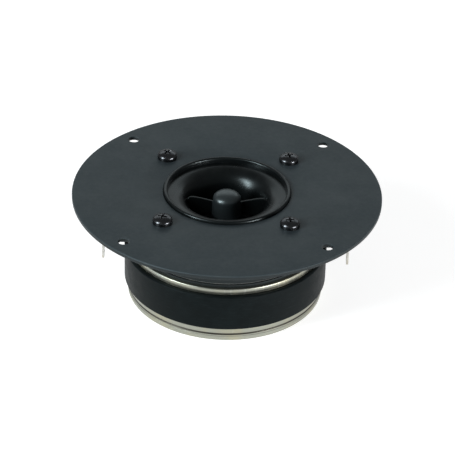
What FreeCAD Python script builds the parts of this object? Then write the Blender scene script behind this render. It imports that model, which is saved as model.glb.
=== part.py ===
"""Horn-loaded dome tweeter on a round mounting plate.

The driver stands on its rear plate. Z = 0 is the rear face of the motor, the
Z axis is the axis of sound and +Z points out of the horn. X runs through the
two connection tabs. All lengths are in millimetres.

From the rear upwards: two stamped steel rear plates with a pole riveted
through them, a ferrite ring, a steel top plate, a moulded carrier with the
dome, coil and tabs, a gasket, a moulded frame, the horn with its bullet, and a
thin round front plate held down by four long pan-head screws.
"""

import FreeCAD
import Part
import math
import os

from FreeCAD import Vector

# ---------------------------------------------------------------- motor stack
OUTER_REAR_T = 2.6  # the lower of the two stamped rear plates
INNER_REAR_T = 2.6
MAGNET_T = 13.8
TOP_PLATE_T = 2.5
REAR_PLATE_R = 35.2
MAGNET_R = 36.4
MAGNET_BORE_R = 16.0
TOP_PLATE_R = 35.1
STAMPED_EDGE = 0.45  # rounding left by the stamping press
MAGNET_EDGE = 0.5
FOUR_CORNERS = (45, 135, 225, 315)

# ------------------------------------------------------------ gap and coil
POLE_R = 12.0
POLE_TAIL_R = 7.0  # the turned-down end riveted through the rear plates
POLE_EDGE = 0.3
TAIL_SPREAD = 1.0  # riveting widens the tail by this much, over the same height
TAIL_DIMPLE_R = 1.2
TAIL_DIMPLE_H = 0.6
COIL_CLEARANCE = 0.3
FORMER_WALL = 0.12
WINDING_WALL = 0.38
GAP_OUTER_R = 13.2
WINDING_H = 3.0
FORMER_BELOW_WINDING = 0.35

# ------------------------------------------------------- carrier and gasket
CARRIER_T = 1.0
CARRIER_R = 34.0
CARRIER_BORE_R = 15.0
EAR_ROOT_X = 30.0  # where each connection ear starts inside the ring
EAR_REACH = 42.0  # and where it ends, from the axis
EAR_W = 11.0
EAR_T = 1.7
EAR_STEEL_GAP = 0.4  # between the deep part of the ear and the top plate
GASKET_T = 0.5
GASKET_R = 33.4
GASKET_BORE_R = 22.0
GASKET_HOLE_R = 2.1

# ------------------------------------------------------------ front plate
PLATE_R = 55.0
PLATE_T = 1.5
PLATE_TOP_Z = 40.0
PLATE_EDGE = 0.3
SEAT_RELIEF = 0.2  # the shallow recess that centres the horn flange
SEAT_CLEARANCE = 0.15  # round the flange
PANEL_HOLE_R = 2.0
PANEL_HOLES_AT = 49.25
HORN_HOLE_R = 22.75

# ------------------------------------------------------------------- horn
THROAT_R = 12.4
THROAT_Z = 24.4
MOUTH_R = 20.9
MOUTH_DEPTH = 0.9  # the flare ends this far below the plate's face
FLARE_POWER = 2.8  # 2 gives a plain ellipse, more gives a flatter lip and a straighter throat
CURVE_STEPS = 14
RIM_OUTER_R = 22.6
RIM_INNER_R = 21.2
RIM_PROUD = 1.1  # the rolled rim stands this far above the plate's face
RIM_SIDE = 0.45  # straight part of the rim below its round top
BELL_TOP_R = 23.6  # the outside of the horn: under the flange, at the waist, at the foot
BELL_WAIST_R = 16.6
BELL_WAIST_Z = 32.6
BELL_FOOT_R = 14.8
HORN_COLLAR_R = 19.0
FRAME_R = 34.0
FRAME_T = 3.0
HORN_FLANGE_R = 37.0
HORN_FLANGE_T = 2.2
SURROUND_POCKET_R = 16.5
GUSSET_T = 1.8
GUSSET_H = 7.5
GUSSET_SETBACK = 2.0  # from the collar to the foot of each gusset
PILLAR_R = 3.5

# ------------------------------------------------------------------ bullet
BULLET_TIP_Z = 39.5
BULLET_NOSE_R = 5.0
BULLET_NOSE_H = 3.0
BULLET_NOSE_POWER = 2.4  # flatter on top than an ellipse, with a tighter shoulder
BULLET_SIDE_H = 4.4  # straight side below the nose
BULLET_BASE_R = 8.0
FLANK_SWELL = 0.7  # the flank curves out from the straight side to the base
FLANK_DROP = 0.3
BULLET_GAP = 1.3  # air between the dome and the bullet's hollow foot
FIN_T = 0.8
FIN_ROOT = 1.0  # how far a fin runs into the bullet
FIN_INNER_Z = 35.5  # the fins' upper edge, at the bullet
FIN_CREST_Z = 37.4  # its highest point
FIN_CREST_AT = 12.6
FIN_OUTER_Z = 36.2  # and where it meets the horn wall
FIN_OUTER_AT = 14.6
FIN_FOOT_Z = 30.5

# --------------------------------------------------------------- diaphragm
DOME_RISE = 3.2
DOME_WALL = 0.2
SURROUND_WALL = 0.15
SURROUND_FLANGE_R = 18.4
SURROUND_ROOT_R = 15.3
SURROUND_LAP = 0.08  # between the film's inner edge and the former
SURROUND_DROP = 0.15  # the film ends this far below the top of the coil
SURROUND_BOW = 0.35  # how strongly each half of its S is curved
PAD_R = 9.5
PAD_T = 1.2
PAD_EDGE = 0.3

# --------------------------------------------------------------- fasteners
SCREW_AT = 31.2
SCREW_R = 1.72
SCREW_HOLE_R = 1.9
SCREW_TAP_R = 1.75
SCREW_HEAD_R = 3.5
SCREW_HEAD_H = 2.6
SCREW_HEAD_SIDE = 1.1  # straight side below the crown
SCREW_CROWN_POINT = (2.17, 2.18)  # a point on the crown: radius, height above the seat
SCREW_L = 20.0
SCREW_TIP_EDGE = 0.4
SCREW_TWIST = 1.7  # each screw has stopped at its own angle
RECESS_SPAN = 4.0
RECESS_SLOT = 0.95
RECESS_FOOT_SPAN = 1.6
RECESS_FOOT_SLOT = 0.6
RECESS_DEPTH = 1.7

# ------------------------------------------------------------ connection tabs
TAB_ANGLES = (0, 180)
TAB_T = 0.7
TAB_W = 4.8
TAB_INNER_X = 19.0
TAB_OUTER_X = 44.4
TAB_TIP_Z = 11.0
TAB_BEND = 1.1
TAB_CORNER = 1.2
TAB_HOLE_R = 0.7
TAB_HOLE_UP = 2.6  # from the tip
RIVET_X = 37.6
RIVET_R = 1.25
RIVET_BORE_R = 0.8
RIVET_FLANGE_R = 2.0
RIVET_FLANGE_T = 0.3
LEAD_W = 1.2
LEAD_T = 0.12
LEAD_CREST_R = 14.4
LEAD_CREST_H = 0.28  # above the top of the coil
LEAD_OVER_FILM = 0.2
LEAD_SIDE_GAP = 0.3  # between the braid's landing and the horn's pocket
LEAD_LAP = 1.6  # length that lies on the tab
SOLDER_R = 0.9
SOLDER_H = 0.42
SOLDER_AT = 1.0  # from the inner end of the tab
PEG_ANGLES = (90, 270)
PEG_AT = 24.0
PEG_R = 1.0
PEG_L = 1.9
RUNNING_GAP = 0.05  # between a moulded peg or fin and what it sits in
PAST = 1.0  # how far a cutting tool runs past the face that it cuts
NEAR = 1e-3

# --------------------------------------------------------- heights that follow
MAGNET_Z = OUTER_REAR_T + INNER_REAR_T
TOP_PLATE_Z = MAGNET_Z + MAGNET_T
CARRIER_Z = TOP_PLATE_Z + TOP_PLATE_T
GASKET_Z = CARRIER_Z + CARRIER_T
HORN_Z = GASKET_Z + GASKET_T
PLATE_Z = PLATE_TOP_Z - PLATE_T
HORN_TOP_Z = PLATE_Z + SEAT_RELIEF
MOUTH_Z = PLATE_TOP_Z - MOUTH_DEPTH
COIL_TOP_Z = GASKET_Z + 1.0  # where the dome, former and surround meet
FORMER_R = POLE_R + COIL_CLEARANCE + FORMER_WALL
WINDING_R = FORMER_R + WINDING_WALL
WINDING_Z = TOP_PLATE_Z + TOP_PLATE_T / 2 - WINDING_H / 2
DOME_SPHERE_R = (FORMER_R**2 + DOME_RISE**2) / (2 * DOME_RISE)
DOME_CENTRE_Z = COIL_TOP_Z + DOME_RISE - DOME_SPHERE_R


# ---------------------------------------------------------------- shape tools
def disc(radius, z, height, at=(0, 0)):
    return Part.makeCylinder(radius, height, Vector(at[0], at[1], z))


def ring(outer, inner, z, height):
    return disc(outer, z, height).cut(disc(inner, z - PAST, height + 2 * PAST))


def polar(radius, angle):
    turn = math.radians(angle)
    return (radius * math.cos(turn), radius * math.sin(turn))


def pins(radius, at, angles, z, height):
    """Cylinders on a circle."""
    return [disc(radius, z, height, polar(at, angle)) for angle in angles]


def drills(radius, at, angles, z, thickness):
    """Cylinders on a circle that run past both faces of the plate they are cut from."""
    return pins(radius, at, angles, z - PAST, thickness + 2 * PAST)


def point(radius, z):
    return Vector(radius, 0, z)


def line(a, b):
    return Part.LineSegment(point(*a), point(*b)).toShape()


def arc(a, middle, b):
    return Part.Arc(point(*a), point(*middle), point(*b)).toShape()


def turned(edges):
    """The solid turned from a closed outline in the X-Z plane."""
    face = Part.Face(Part.Wire(edges))
    return face.revolve(Vector(0, 0, 0), Vector(0, 0, 1), 360)


def turned_points(points):
    corners = [point(*p) for p in points]
    face = Part.Face(Part.makePolygon(corners + corners[:1]))
    return face.revolve(Vector(0, 0, 0), Vector(0, 0, 1), 360)


def edges_at(shape, radius, z):
    """The full circular edges of that radius at that height."""
    found = []
    for edge in shape.Edges:
        curve = edge.Curve
        if isinstance(curve, Part.Circle) and abs(curve.Radius - radius) < NEAR:
            if abs(curve.Center.z - z) < NEAR and math.hypot(curve.Center.x, curve.Center.y) < NEAR:
                found.append(edge)
    return found


def rounded(shape, size, places):
    return shape.makeFillet(size, [e for place in places for e in edges_at(shape, *place)])


def bevelled(shape, size, places):
    return shape.makeChamfer(size, [e for place in places for e in edges_at(shape, *place)])


def half_turn(shape):
    return shape.rotated(Vector(0, 0, 0), Vector(0, 0, 1), 180)


# --------------------------------------------------------------------- motor
def rear_plate(z, thickness):
    plate = ring(REAR_PLATE_R, POLE_TAIL_R, z, thickness)
    return rounded(plate, STAMPED_EDGE, [(REAR_PLATE_R, z), (REAR_PLATE_R, z + thickness)])


def inner_rear_plate():
    return rear_plate(OUTER_REAR_T, INNER_REAR_T)


def outer_rear_plate():
    countersink = Part.makeCone(POLE_TAIL_R + TAIL_SPREAD, POLE_TAIL_R, TAIL_SPREAD)
    return rear_plate(0, OUTER_REAR_T).cut(countersink)


def pole_piece():
    """A turned pole whose tail is spread into a countersink in the lower plate."""
    pole = turned_points([
        (0, TAIL_DIMPLE_H),
        (TAIL_DIMPLE_R, 0),
        (POLE_TAIL_R + TAIL_SPREAD, 0),
        (POLE_TAIL_R, TAIL_SPREAD),
        (POLE_TAIL_R, MAGNET_Z),
        (POLE_R, MAGNET_Z),
        (POLE_R, CARRIER_Z),
        (0, CARRIER_Z),
    ])
    return bevelled(pole, POLE_EDGE, [(POLE_R, CARRIER_Z)])


def magnet():
    body = ring(MAGNET_R, MAGNET_BORE_R, MAGNET_Z, MAGNET_T)
    rims = [(MAGNET_R, MAGNET_Z), (MAGNET_R, TOP_PLATE_Z)]
    bores = [(MAGNET_BORE_R, MAGNET_Z), (MAGNET_BORE_R, TOP_PLATE_Z)]
    return bevelled(body, MAGNET_EDGE, rims + bores)


def top_plate():
    plate = ring(TOP_PLATE_R, GAP_OUTER_R, TOP_PLATE_Z, TOP_PLATE_T)
    plate = rounded(plate, STAMPED_EDGE, [(TOP_PLATE_R, TOP_PLATE_Z), (TOP_PLATE_R, CARRIER_Z)])
    taps = drills(SCREW_TAP_R, SCREW_AT, FOUR_CORNERS, TOP_PLATE_Z, TOP_PLATE_T)
    sockets = drills(PEG_R + RUNNING_GAP, PEG_AT, PEG_ANGLES, TOP_PLATE_Z, TOP_PLATE_T)
    return plate.cut(taps + sockets)


def damping_pad():
    return bevelled(disc(PAD_R, CARRIER_Z, PAD_T), PAD_EDGE, [(PAD_R, CARRIER_Z + PAD_T)])


# --------------------------------------------------------- carrier and tabs
def ear():
    """One side ear, standing out past the top plate and thicker there."""
    reach = EAR_REACH - EAR_W / 2
    flat = Part.makeBox(reach - EAR_ROOT_X, EAR_W, CARRIER_T, Vector(EAR_ROOT_X, -EAR_W / 2, CARRIER_Z))
    inner = TOP_PLATE_R + EAR_STEEL_GAP
    low = GASKET_Z - EAR_T
    deep = Part.makeBox(reach - inner, EAR_W, EAR_T, Vector(inner, -EAR_W / 2, low))
    end = disc(EAR_W / 2, low, EAR_T, (reach, 0))
    over_steel = disc(inner, CARRIER_Z - EAR_T, EAR_T)
    return flat.fuse([deep, end]).cut(over_steel).removeSplitter()


def tab_groove():
    clear = RUNNING_GAP
    width = TAB_W + 2 * clear
    floor_z = GASKET_Z - TAB_T
    start = TAB_INNER_X - clear
    return Part.makeBox(EAR_REACH, width, TAB_T + PAST, Vector(start, -width / 2, floor_z))


def diaphragm_carrier():
    body = ring(CARRIER_R, CARRIER_BORE_R, CARRIER_Z, CARRIER_T)
    right = ear()
    body = body.fuse([right, half_turn(right)]).removeSplitter()
    body = body.cut(drills(SCREW_HOLE_R, SCREW_AT, FOUR_CORNERS, CARRIER_Z, CARRIER_T))
    body = body.cut([tab_groove(), half_turn(tab_groove())])
    body = body.cut(drills(RIVET_R + RUNNING_GAP, RIVET_X, TAB_ANGLES, GASKET_Z - EAR_T, EAR_T))
    pegs = pins(PEG_R, PEG_AT, PEG_ANGLES, CARRIER_Z - PEG_L, PEG_L + CARRIER_T / 2)
    return body.fuse(pegs).removeSplitter()


def tab():
    """A flat strip that runs out along X in its groove and turns down."""
    top = GASKET_Z
    outer = TAB_BEND
    inner = TAB_BEND - TAB_T
    x = TAB_OUTER_X
    cx = x - outer
    cz = top - outer
    diagonal = math.sqrt(0.5)
    outline = [
        line((TAB_INNER_X, top), (cx, top)),
        arc((cx, top), (cx + outer * diagonal, cz + outer * diagonal), (x, cz)),
        line((x, cz), (x, TAB_TIP_Z)),
        line((x, TAB_TIP_Z), (x - TAB_T, TAB_TIP_Z)),
        line((x - TAB_T, TAB_TIP_Z), (x - TAB_T, cz)),
        arc((x - TAB_T, cz), (cx + inner * diagonal, cz + inner * diagonal), (cx, top - TAB_T)),
        line((cx, top - TAB_T), (TAB_INNER_X, top - TAB_T)),
        line((TAB_INNER_X, top - TAB_T), (TAB_INNER_X, top)),
    ]
    strip = Part.Face(Part.Wire(outline)).extrude(Vector(0, TAB_W, 0))
    strip.translate(Vector(0, -TAB_W / 2, 0))
    half = TAB_W / 2
    behind = x - TAB_T - PAST
    through = TAB_T + 2 * PAST
    for side in (-1, 1):
        cutter = Part.makePolygon([
            Vector(behind, side * half, TAB_TIP_Z),
            Vector(behind, side * (half - TAB_CORNER), TAB_TIP_Z),
            Vector(behind, side * half, TAB_TIP_Z + TAB_CORNER),
            Vector(behind, side * half, TAB_TIP_Z),
        ])
        strip = strip.cut(Part.Face(cutter).extrude(Vector(through, 0, 0)))
    eye_at = Vector(behind, 0, TAB_TIP_Z + TAB_HOLE_UP)
    eye = Part.makeCylinder(TAB_HOLE_R, through, eye_at, Vector(1, 0, 0))
    return strip.cut([eye] + drills(RIVET_R + RUNNING_GAP, RIVET_X, (0,), top - TAB_T, TAB_T))


def rivet():
    """A hollow eyelet that clamps the tab to the ear."""
    low = GASKET_Z - EAR_T
    tube = disc(RIVET_R, low - RIVET_FLANGE_T, EAR_T + 2 * RIVET_FLANGE_T, (RIVET_X, 0))
    head = disc(RIVET_FLANGE_R, GASKET_Z, RIVET_FLANGE_T, (RIVET_X, 0))
    foot = disc(RIVET_FLANGE_R, low - RIVET_FLANGE_T, RIVET_FLANGE_T, (RIVET_X, 0))
    bore = drills(RIVET_BORE_R, RIVET_X, (0,), low, EAR_T)
    return tube.fuse([head, foot]).removeSplitter().cut(bore)


def lead():
    """A flat braid that arches from the coil over the surround to the tab."""
    start = (FORMER_R + 2 * RUNNING_GAP, COIL_TOP_Z - RUNNING_GAP)
    crest = (LEAD_CREST_R, COIL_TOP_Z + LEAD_CREST_H)
    landing = (SURROUND_POCKET_R - LEAD_SIDE_GAP, GASKET_Z + LEAD_OVER_FILM)
    knee = (SURROUND_FLANGE_R + 2 * RUNNING_GAP, GASKET_Z + LEAD_OVER_FILM)
    end = (TAB_INNER_X + LEAD_LAP, GASKET_Z)

    def lifted(p):
        return (p[0], p[1] + LEAD_T)

    outline = [
        arc(start, crest, landing),
        line(landing, knee),
        line(knee, end),
        line(end, lifted(end)),
        line(lifted(end), lifted(knee)),
        line(lifted(knee), lifted(landing)),
        arc(lifted(landing), lifted(crest), lifted(start)),
        line(lifted(start), start),
    ]
    braid = Part.Face(Part.Wire(outline)).extrude(Vector(0, LEAD_W, 0))
    braid.translate(Vector(0, -LEAD_W / 2, 0))
    return braid


def solder_joint():
    """A low bead of solder over the end of the braid."""
    ball_r = (SOLDER_R**2 + SOLDER_H**2) / (2 * SOLDER_H)
    x = TAB_INNER_X + SOLDER_AT
    ball = Part.makeSphere(ball_r, Vector(x, 0, GASKET_Z + SOLDER_H - ball_r))
    above = disc(2 * SOLDER_R, GASKET_Z, 2 * SOLDER_H, (x, 0))
    return ball.common(above).cut(lead())


# ----------------------------------------------------------------- diaphragm
def dome():
    """A thin spherical cap that stands on the former."""
    outer = Part.makeSphere(DOME_SPHERE_R, Vector(0, 0, DOME_CENTRE_Z))
    inner = Part.makeSphere(DOME_SPHERE_R - DOME_WALL, Vector(0, 0, DOME_CENTRE_Z))
    above = disc(FORMER_R, COIL_TOP_Z, DOME_RISE + PAST)
    return outer.cut(inner).common(above)


def voice_coil_former():
    low = WINDING_Z - FORMER_BELOW_WINDING
    return ring(FORMER_R, FORMER_R - FORMER_WALL, low, COIL_TOP_Z - low)


def voice_coil():
    return ring(WINDING_R, FORMER_R, WINDING_Z, WINDING_H)


def surround():
    """A thin film that climbs in one soft S from the carrier to the coil."""
    wall = SURROUND_WALL
    inner_r = FORMER_R + SURROUND_LAP
    inner_z = COIL_TOP_Z - wall - SURROUND_DROP
    middle_r = (inner_r + SURROUND_ROOT_R) / 2
    middle_z = (inner_z + GASKET_Z) / 2
    low = [
        (SURROUND_FLANGE_R, GASKET_Z),
        (SURROUND_ROOT_R, GASKET_Z),
        ((SURROUND_ROOT_R + middle_r) / 2, GASKET_Z + (middle_z - GASKET_Z) * SURROUND_BOW),
        (middle_r, middle_z),
        ((inner_r + middle_r) / 2, inner_z - (inner_z - middle_z) * SURROUND_BOW),
        (inner_r, inner_z),
    ]
    outline = [
        line(low[0], low[1]),
        arc(low[1], low[2], low[3]),
        arc(low[3], low[4], low[5]),
    ]
    high = [(r, z + wall) for r, z in low]
    outline += [
        line(low[5], high[5]),
        arc(high[5], high[4], high[3]),
        arc(high[3], high[2], high[1]),
        line(high[1], high[0]),
        line(high[0], low[0]),
    ]
    return turned(outline)


# ---------------------------------------------------------------------- horn
def quarter_edge(start, end, power):
    """One smooth edge, a quarter superellipse that leaves start upright and ends level."""
    points = []
    for step in range(CURVE_STEPS + 1):
        turn = math.pi / 2 * step / CURVE_STEPS
        radius = end[0] - (end[0] - start[0]) * math.cos(turn) ** (2 / power)
        points.append(point(radius, start[1] + (end[1] - start[1]) * math.sin(turn) ** (2 / power)))
    curve = Part.BSplineCurve()
    curve.interpolate(points)
    return curve.toShape()


def flare_edge(inset=0.0):
    """The flare of the horn from the throat up to the mouth."""
    return quarter_edge((THROAT_R - inset, THROAT_Z), (MOUTH_R - inset, MOUTH_Z), FLARE_POWER)


def flare_room(inset=0.0):
    """The air inside the horn, from the throat up to the mouth."""
    top_r = MOUTH_R - inset
    return turned([
        flare_edge(inset),
        line((top_r, MOUTH_Z), (0, MOUTH_Z)),
        line((0, MOUTH_Z), (0, THROAT_Z)),
        line((0, THROAT_Z), (THROAT_R - inset, THROAT_Z)),
    ])


def horn_shell():
    """Rolled rim, flare, flange, bell and collar, turned as one outline."""
    shoulder_z = PLATE_TOP_Z + RIM_SIDE
    crest = ((RIM_OUTER_R + RIM_INNER_R) / 2, PLATE_TOP_Z + RIM_PROUD)
    flange_low = HORN_TOP_Z - HORN_FLANGE_T
    base_top = HORN_Z + FRAME_T
    bell_top = (BELL_TOP_R, flange_low)
    bell_foot = (BELL_FOOT_R, base_top)
    corners = [
        (RIM_OUTER_R, shoulder_z),
        (RIM_OUTER_R, HORN_TOP_Z),
        (HORN_FLANGE_R, HORN_TOP_Z),
        (HORN_FLANGE_R, flange_low),
        bell_top,
    ]
    foot = [
        bell_foot,
        (HORN_COLLAR_R, base_top),
        (HORN_COLLAR_R, HORN_Z),
        (SURROUND_POCKET_R, HORN_Z),
        (SURROUND_POCKET_R, THROAT_Z),
        (THROAT_R, THROAT_Z),
    ]
    outline = [
        flare_edge(),
        line((MOUTH_R, MOUTH_Z), (RIM_INNER_R, MOUTH_Z)),
        line((RIM_INNER_R, MOUTH_Z), (RIM_INNER_R, shoulder_z)),
        arc((RIM_INNER_R, shoulder_z), crest, (RIM_OUTER_R, shoulder_z)),
    ]
    outline += [line(a, b) for a, b in zip(corners, corners[1:])]
    outline.append(arc(bell_top, (BELL_WAIST_R, BELL_WAIST_Z), bell_foot))
    outline += [line(a, b) for a, b in zip(foot, foot[1:])]
    return turned(outline)


def horn():
    flange_low = HORN_TOP_Z - HORN_FLANGE_T
    return horn_shell().cut(drills(SCREW_HOLE_R, SCREW_AT, FOUR_CORNERS, flange_low, HORN_FLANGE_T))


def gusset():
    """A low web that stiffens one pillar against the base ring."""
    low = HORN_Z + FRAME_T / 2
    foot = HORN_COLLAR_R + GUSSET_SETBACK
    top = low + FRAME_T / 2 + GUSSET_H
    outline = [
        Vector(foot, -GUSSET_T / 2, low),
        Vector(SCREW_AT, -GUSSET_T / 2, low),
        Vector(SCREW_AT, -GUSSET_T / 2, top),
        Vector(SCREW_AT - PILLAR_R, -GUSSET_T / 2, top),
        Vector(foot, -GUSSET_T / 2, low + FRAME_T / 2),
    ]
    return Part.Face(Part.makePolygon(outline + outline[:1])).extrude(Vector(0, GUSSET_T, 0))


def horn_frame():
    """The base ring round the horn's collar, with a pillar under each screw."""
    base = ring(FRAME_R, HORN_COLLAR_R + RUNNING_GAP, HORN_Z, FRAME_T)
    height = HORN_TOP_Z - HORN_FLANGE_T - HORN_Z
    pillars = pins(PILLAR_R, SCREW_AT, FOUR_CORNERS, HORN_Z, height)
    edge = disc(FRAME_R, HORN_Z, height)
    webs = [gusset().rotated(Vector(0, 0, 0), Vector(0, 0, 1), angle) for angle in FOUR_CORNERS]
    body = base.fuse([pillar.common(edge) for pillar in pillars] + webs).removeSplitter()
    return body.cut(drills(SCREW_HOLE_R, SCREW_AT, FOUR_CORNERS, HORN_Z, height))


def bullet():
    """A straight-sided bullet with a domed nose, hollowed underneath to follow the dome."""
    shoulder_z = BULLET_TIP_Z - BULLET_NOSE_H
    skirt_z = shoulder_z - BULLET_SIDE_H
    hollow_r = DOME_SPHERE_R + BULLET_GAP

    def hollow(radius):
        return (radius, DOME_CENTRE_Z + math.sqrt(hollow_r**2 - radius**2))

    foot = hollow(BULLET_BASE_R)
    flank = (BULLET_NOSE_R + FLANK_SWELL, (skirt_z + foot[1]) / 2 - FLANK_DROP)
    return turned([
        quarter_edge((BULLET_NOSE_R, shoulder_z), (0, BULLET_TIP_Z), BULLET_NOSE_POWER),
        line((BULLET_NOSE_R, shoulder_z), (BULLET_NOSE_R, skirt_z)),
        arc((BULLET_NOSE_R, skirt_z), flank, foot),
        arc(foot, hollow(BULLET_BASE_R / 2), hollow(0)),
        line(hollow(0), (0, BULLET_TIP_Z)),
    ])


def fin():
    """One thin web from the bullet to the horn wall, its upper edge rising outwards."""
    inner = BULLET_NOSE_R - FIN_ROOT
    outline = [
        Vector(inner, -FIN_T / 2, FIN_FOOT_Z),
        Vector(FIN_OUTER_AT, -FIN_T / 2, FIN_FOOT_Z),
        Vector(FIN_OUTER_AT, -FIN_T / 2, FIN_OUTER_Z),
        Vector(FIN_CREST_AT, -FIN_T / 2, FIN_CREST_Z),
        Vector(inner, -FIN_T / 2, FIN_INNER_Z),
    ]
    web = Part.Face(Part.makePolygon(outline + outline[:1])).extrude(Vector(0, FIN_T, 0))
    return web.common(flare_room(RUNNING_GAP))


def phase_plug():
    return bullet().fuse([fin(), half_turn(fin())]).removeSplitter()


def gasket():
    body = ring(GASKET_R, GASKET_BORE_R, GASKET_Z, GASKET_T)
    return body.cut(drills(GASKET_HOLE_R, SCREW_AT, FOUR_CORNERS, GASKET_Z, GASKET_T))


# --------------------------------------------------------------- front plate
def front_plate():
    plate = ring(PLATE_R, HORN_HOLE_R, PLATE_Z, PLATE_T)
    plate = bevelled(plate, PLATE_EDGE, [(PLATE_R, PLATE_TOP_Z)])
    recess = disc(HORN_FLANGE_R + SEAT_CLEARANCE, PLATE_Z - PAST, SEAT_RELIEF + PAST)
    drilled = drills(PANEL_HOLE_R, PANEL_HOLES_AT, FOUR_CORNERS, PLATE_Z, PLATE_T)
    drilled += drills(SCREW_HOLE_R, SCREW_AT, FOUR_CORNERS, PLATE_Z, PLATE_T)
    return plate.cut([recess] + drilled)


def cross_recess(crown_z):
    """Two tapered bars that cut the cross into the crown."""
    bars = []
    for turn in (0, 90):
        bar = Part.makeWedge(
            -RECESS_SPAN / 2, 0, -RECESS_SLOT / 2, -RECESS_FOOT_SLOT / 2, -RECESS_FOOT_SPAN / 2,
            RECESS_SPAN / 2, RECESS_DEPTH + PAST, RECESS_SLOT / 2,
            RECESS_FOOT_SLOT / 2, RECESS_FOOT_SPAN / 2,
        )
        bar.rotate(Vector(0, 0, 0), Vector(1, 0, 0), -90)
        bar.rotate(Vector(0, 0, 0), Vector(0, 0, 1), turn)
        bar.translate(Vector(0, 0, crown_z + PAST))
        bars.append(bar)
    return bars


def screw(angle):
    """A pan-head machine screw with a cross recess, seated on the plate."""
    seat = PLATE_TOP_Z
    crown_z = seat + SCREW_HEAD_H
    shoulder = (SCREW_HEAD_R, seat + SCREW_HEAD_SIDE)
    crown_r, crown_h = SCREW_CROWN_POINT
    head = turned([
        line((0, seat), (SCREW_HEAD_R, seat)),
        line((SCREW_HEAD_R, seat), shoulder),
        arc(shoulder, (crown_r, seat + crown_h), (0, crown_z)),
        line((0, crown_z), (0, seat)),
    ])
    shank = disc(SCREW_R, seat - SCREW_L, SCREW_L + SCREW_HEAD_SIDE / 2)
    shank = bevelled(shank, SCREW_TIP_EDGE, [(SCREW_R, seat - SCREW_L)])
    body = head.fuse(shank).removeSplitter().cut(cross_recess(crown_z))
    body.rotate(Vector(0, 0, 0), Vector(0, 0, 1), angle * SCREW_TWIST)
    x, y = polar(SCREW_AT, angle)
    body.translate(Vector(x, y, 0))
    return body


# --------------------------------------------------------------------- parts
def pair(shape):
    return Part.makeCompound([shape, half_turn(shape)])


PARTS = {
    "front_plate": front_plate,
    "clamp_screws": lambda: Part.makeCompound([screw(angle) for angle in FOUR_CORNERS]),
    "horn": horn,
    "horn_frame": horn_frame,
    "phase_plug": phase_plug,
    "horn_gasket": gasket,
    "diaphragm_carrier": diaphragm_carrier,
    "surround": surround,
    "dome": dome,
    "voice_coil_former": voice_coil_former,
    "voice_coil": voice_coil,
    "damping_pad": damping_pad,
    "lead_positive": lead,
    "lead_negative": lambda: half_turn(lead()),
    "solder_joints": lambda: pair(solder_joint()),
    "terminal_positive": tab,
    "terminal_negative": lambda: half_turn(tab()),
    "terminal_rivets": lambda: pair(rivet()),
    "top_plate": top_plate,
    "magnet": magnet,
    "pole_piece": pole_piece,
    "inner_rear_plate": inner_rear_plate,
    "outer_rear_plate": outer_rear_plate,
}


def main():
    os.makedirs("parts", exist_ok=True)
    for name, make in PARTS.items():
        shape = make()
        solids = shape.Solids
        sound = shape.isValid() and all(s.isClosed() and s.Volume > 0 for s in solids)
        print(f"{name:20s} solids {len(solids)}  volume {shape.Volume:10.2f}  sound {sound}")
        shape.exportStep(os.path.join("parts", name + ".step"))


main()
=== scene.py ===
import math

import bpy
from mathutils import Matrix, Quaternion, Vector


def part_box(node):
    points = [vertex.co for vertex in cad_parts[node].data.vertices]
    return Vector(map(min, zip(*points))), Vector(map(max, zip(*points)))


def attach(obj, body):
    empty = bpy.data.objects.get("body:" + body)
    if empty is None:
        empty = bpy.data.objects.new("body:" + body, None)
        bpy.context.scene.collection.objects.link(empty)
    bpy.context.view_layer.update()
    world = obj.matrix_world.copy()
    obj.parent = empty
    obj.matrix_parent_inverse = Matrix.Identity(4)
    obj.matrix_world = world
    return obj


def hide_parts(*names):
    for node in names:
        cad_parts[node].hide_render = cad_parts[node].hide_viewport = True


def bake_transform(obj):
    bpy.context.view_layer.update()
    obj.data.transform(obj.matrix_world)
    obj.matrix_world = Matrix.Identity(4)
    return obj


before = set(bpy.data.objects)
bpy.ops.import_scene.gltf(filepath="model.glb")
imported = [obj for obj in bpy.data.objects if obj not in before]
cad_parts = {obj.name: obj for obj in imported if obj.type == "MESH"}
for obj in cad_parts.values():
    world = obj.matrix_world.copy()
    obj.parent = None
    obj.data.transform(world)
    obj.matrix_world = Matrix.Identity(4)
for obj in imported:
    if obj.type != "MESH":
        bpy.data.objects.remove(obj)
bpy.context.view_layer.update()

MM = 0.001
FOUR_CORNERS = (45, 135, 225, 315)

# Sizes in millimetres, as the CAD pieces have them: plate, horn, frame, screws.
PLATE_SEAT_R = 37.15
PLATE_RELIEF = 0.2
FLANGE_T = 2.2
HORN_BASE_T = 3.0
BASE_RECESS_R = 16.5
BASE_RECESS = 1.4
BELL_WAIST_R = 14.8
BELL_SWELL = 8.8
BELL_CURVE = 2.6
FRAME_T = 3.0
PILLAR_R = 3.5
PILLAR_TOP_R = 3.3
GUSSET_T = 1.8
GUSSET_H = 9.0
GUSSET_FALL = 7.4
COLLAR_R = 19.0
THROAT_R = 12.4
MOUTH_R = 20.9
MOUTH_DEPTH = 0.9
FLARE_POWER = 2.8
RIM_INNER_R = 21.2
RIM_OUTER_R = 22.6
RIM_SIDE = 0.45
HORN_HOLE_R = 22.75
PANEL_HOLE_R = 2.0
PANEL_HOLES_AT = 49.25
SCREW_AT = 31.2
SCREW_HOLE_R = 1.9
SCREW_R = 1.72
SCREW_HEAD_R = 3.5
SCREW_HEAD_SIDE = 0.95
THREAD_PITCH = 0.6
THREAD_DEPTH = 0.3
RECESS_DEPTH = 1.75

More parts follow.
